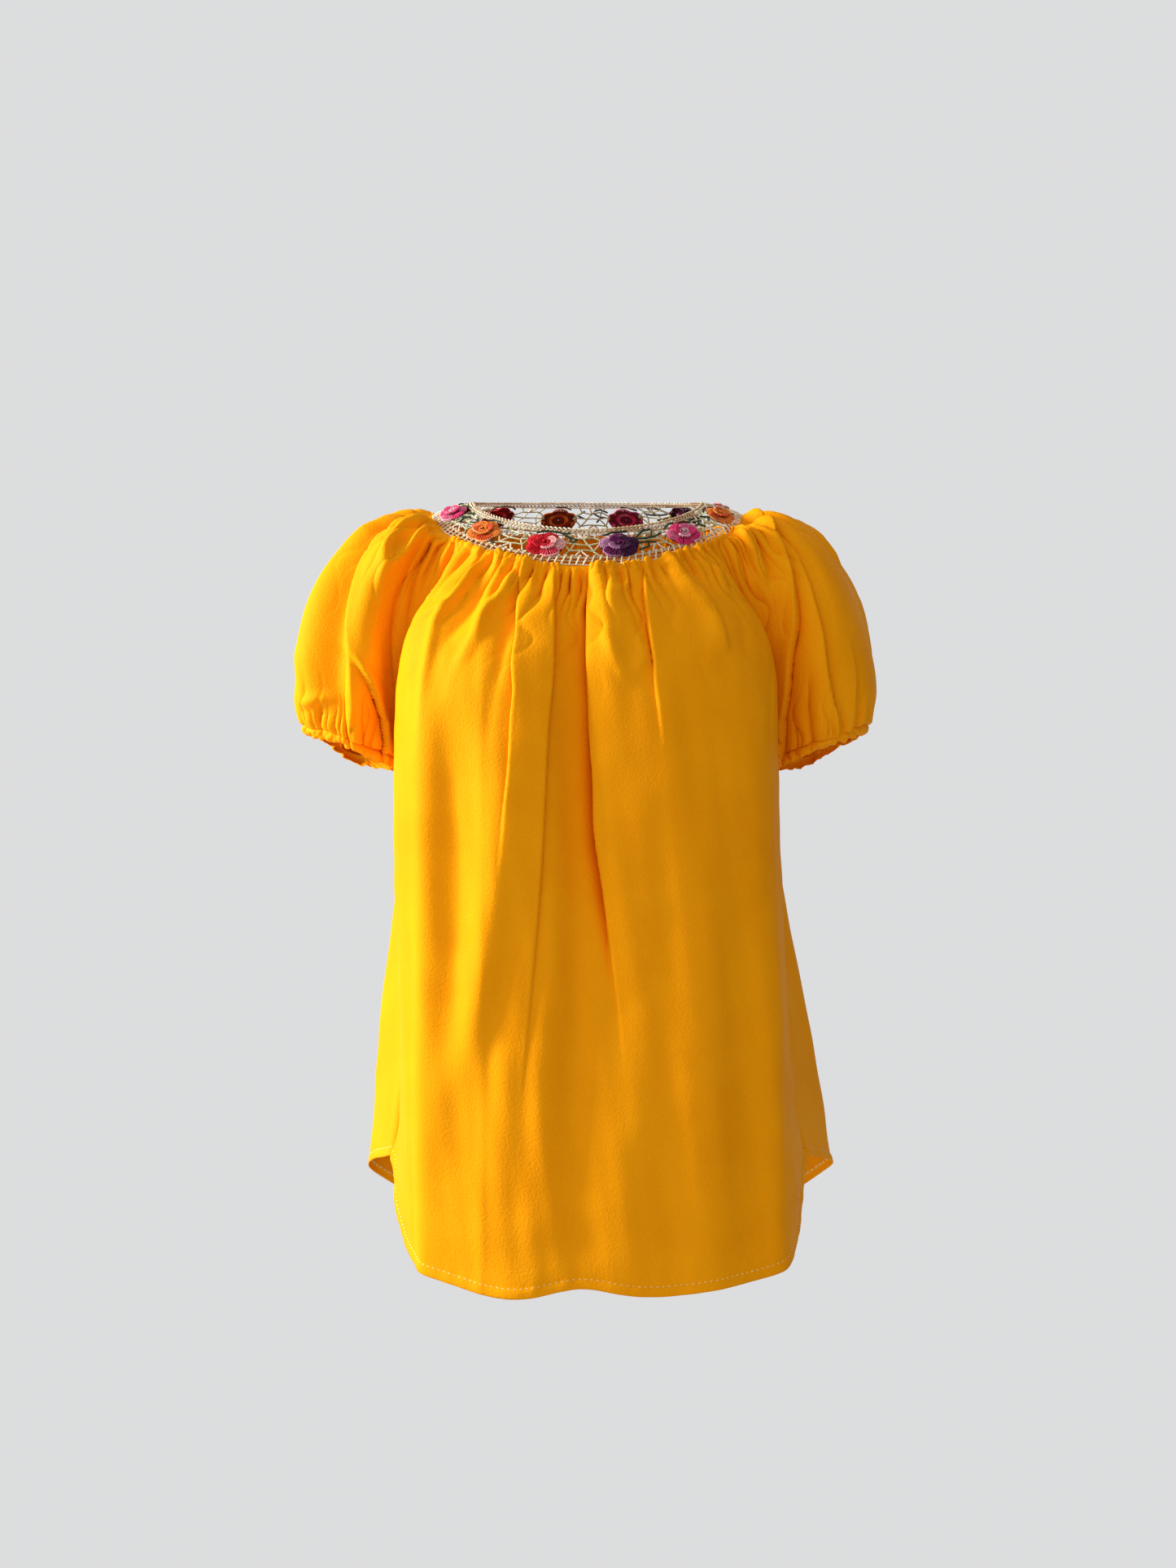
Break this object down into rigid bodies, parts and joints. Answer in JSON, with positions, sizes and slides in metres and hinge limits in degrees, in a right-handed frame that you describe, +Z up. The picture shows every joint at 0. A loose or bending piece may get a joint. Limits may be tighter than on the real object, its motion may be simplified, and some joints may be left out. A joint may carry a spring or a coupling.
{
  "type": "peasant blouse",
  "caption": "Peasant blouse with a crochet yoke and flowers, gathered front and back, puffed raglan sleeves with gathered cuffs, and a curved hem, in its worn form.",
  "frame": {"origin": "the middle of the neck opening, level with the top of the shoulders, where the wearer's shoulders hold the blouse", "axes": "+X to the wearer's left, +Y to the wearer's back so the front faces -Y, +Z up"},
  "size_m": [0.4914, 0.3131, 0.654],
  "materials": {
    "cloth": "smooth crepe with a soft sheen, mustard yellow",
    "lace": "dull crochet thread, cream to tan",
    "thread_pink": "dull crochet thread, shaded pink",
    "thread_orange": "dull crochet thread, shaded orange",
    "thread_red": "dull crochet thread, shaded red",
    "thread_purple": "dull crochet thread, shaded purple"
  },
  "bodies": {
    "root": {"front": "cloth", "back": "cloth", "sleeve_left": "cloth", "sleeve_right": "cloth", "yoke_front": "lace", "yoke_back": "lace", "flower_1_pink": "thread_pink", "flower_2_orange": "thread_orange", "flower_3_red": "thread_red", "flower_4_purple": "thread_purple", "flower_5_pink": "thread_pink", "flower_6_orange": "thread_orange", "flower_7_red": "thread_red", "flower_8_purple": "thread_purple", "flower_9_pink": "thread_pink", "flower_10_orange": "thread_orange", "flower_11_red": "thread_red", "flower_12_purple": "thread_purple"}
  },
  "joints": []
}
